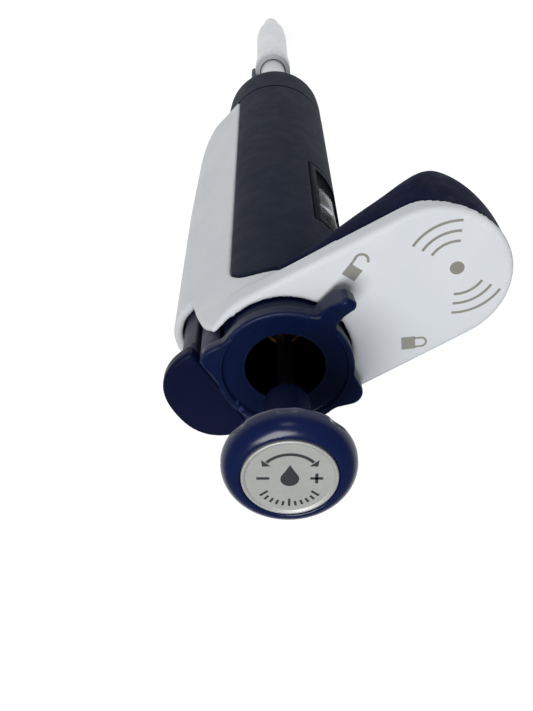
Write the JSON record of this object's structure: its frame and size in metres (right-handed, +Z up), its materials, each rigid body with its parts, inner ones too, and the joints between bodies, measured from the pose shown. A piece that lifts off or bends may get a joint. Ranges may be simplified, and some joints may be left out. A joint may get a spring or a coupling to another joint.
{
  "type": "adjustable micropipette",
  "caption": "Hand-held adjustable micropipette with finger hook, plunger button, volume lock ring, counter window, tip ejector and slim shaft.",
  "frame": {"origin": "centre of the shaft nose's end face", "axes": "+Z up along the plunger axis from the nose to the button; +X towards the finger hook; symmetric body about the XZ plane"},
  "size_m": [0.0594, 0.0244, 0.236],
  "materials": {
    "white_shell": "satin moulded, faintly cool white",
    "grip": "fine-textured matt, dark slate blue",
    "hook_navy": "satin moulded navy",
    "pad_navy": "satin moulded navy",
    "royal_blue": "moulded, semi-gloss royal blue",
    "label_silver": "satin metallised disc",
    "tag_amber": "moulded disc",
    "bezel_black": "gloss black",
    "clear_lens": "clear",
    "frame_slate": "moulded, matt",
    "brass": "turned",
    "rubber_black": "matt",
    "steel": "turned",
    "piston_steel": "polished",
    "rod_dark": "blackened",
    "spring_steel": "drawn wire",
    "nut_grey": "moulded, matt",
    "shaft_pale": "moulded, pale grey",
    "seal_white": "waxy",
    "drum_black": "printed",
    "pinion_ivory": "moulded",
    "arm_grey": "moulded, satin grey"
  },
  "bodies": {
    "handle": {"body_shell": "white_shell", "grip_panel": "grip", "hook_cover": "hook_navy", "hook_tag": "tag_amber", "window_bezel": "bezel_black", "window_lens": "clear_lens", "inner_frame": "frame_slate", "screw_nut": "brass", "lock_brake": "rubber_black", "drum_cage": "frame_slate", "cage_screws": "steel", "pinion_axle": "steel", "end_cap": "grip", "coupling_nut": "nut_grey", "shaft": "shaft_pale", "piston_seal": "seal_white", "seal_o_ring": "rubber_black", "spring_seat": "steel", "piston_spring": "spring_steel", "blowout_spring": "spring_steel", "ejector_spring": "spring_steel"},
    "plunger": {"plunger_button": "royal_blue", "button_label": "label_silver", "plunger_stem": "royal_blue", "plunger_rod": "rod_dark", "stop_flange": "steel", "piston": "piston_steel"},
    "drive": {"drive_sleeve": "frame_slate", "units_drum": "drum_black"},
    "volume_screw": {"volume_screw": "brass"},
    "tens": {"tens_drum": "drum_black"},
    "hundreds": {"hundreds_drum": "drum_black"},
    "tens_pinion": {"tens_pinion": "pinion_ivory"},
    "hundreds_pinion": {"hundreds_pinion": "pinion_ivory"},
    "blowout_stop": {"blowout_washer": "steel"},
    "lock": {"lock_ring": "royal_blue"},
    "ejector": {"ejector_button": "pad_navy", "ejector_arm": "arm_grey", "ejector_sleeve": "shaft_pale"}
  },
  "joints": [
    {"name": "volume_turn", "type": "hinge", "parent": "handle", "child": "drive", "pos_m": [0, 0, 0.15], "axis": [0, 0, 1], "range_deg": [-10080, 0]},
    {"name": "screw_travel", "type": "slide", "parent": "drive", "child": "volume_screw", "axis": [0, 0, 1], "range_m": [-0.01221, 0]},
    {"name": "plunger_press", "type": "slide", "parent": "drive", "child": "plunger", "axis": [0, 0, -1], "range_m": [0, 0.0155], "stiffness_N_per_m": 350, "springref_m": -0.006, "deforming": ["piston_spring"]},
    {"name": "tens_turn", "type": "hinge", "parent": "handle", "child": "tens", "pos_m": [0, 0, 0.165], "axis": [0, 0, 1], "range_deg": [-1008.5, 0]},
    {"name": "hundreds_turn", "type": "hinge", "parent": "handle", "child": "hundreds", "pos_m": [0, 0, 0.173], "axis": [0, 0, 1], "range_deg": [-101, 0]},
    {"name": "tens_pinion_turn", "type": "hinge", "parent": "handle", "child": "tens_pinion", "pos_m": [-0.0098, 0, 0.1633], "axis": [0, 0, 1], "range_deg": [0, 2520.5]},
    {"name": "hundreds_pinion_turn", "type": "hinge", "parent": "handle", "child": "hundreds_pinion", "pos_m": [-0.0098, 0, 0.1709], "axis": [0, 0, 1], "range_deg": [0, 252.5]},
    {"name": "blowout_travel", "type": "slide", "parent": "handle", "child": "blowout_stop", "axis": [0, 0, -1], "range_m": [0, 0.0025], "stiffness_N_per_m": 3000, "springref_m": -0.0005, "deforming": ["blowout_spring"]},
    {"name": "lock_turn", "type": "hinge", "parent": "handle", "child": "lock", "pos_m": [0, 0, 0.21], "axis": [0, 0, 1], "range_deg": [-50, 0]},
    {"name": "ejector_press", "type": "slide", "parent": "handle", "child": "ejector", "axis": [0, 0, -1], "range_m": [0, 0.0075], "stiffness_N_per_m": 600, "springref_m": -0.003, "deforming": ["ejector_spring"]}
  ],
  "couplings": [
    {"joint": "screw_travel", "follows": "volume_turn", "m_per_rad": 0.000069346},
    {"joint": "tens_turn", "follows": "volume_turn", "ratio": 0.1},
    {"joint": "hundreds_turn", "follows": "volume_turn", "ratio": 0.01},
    {"joint": "tens_pinion_turn", "follows": "volume_turn", "ratio": -0.25},
    {"joint": "hundreds_pinion_turn", "follows": "volume_turn", "ratio": -0.025}
  ]
}
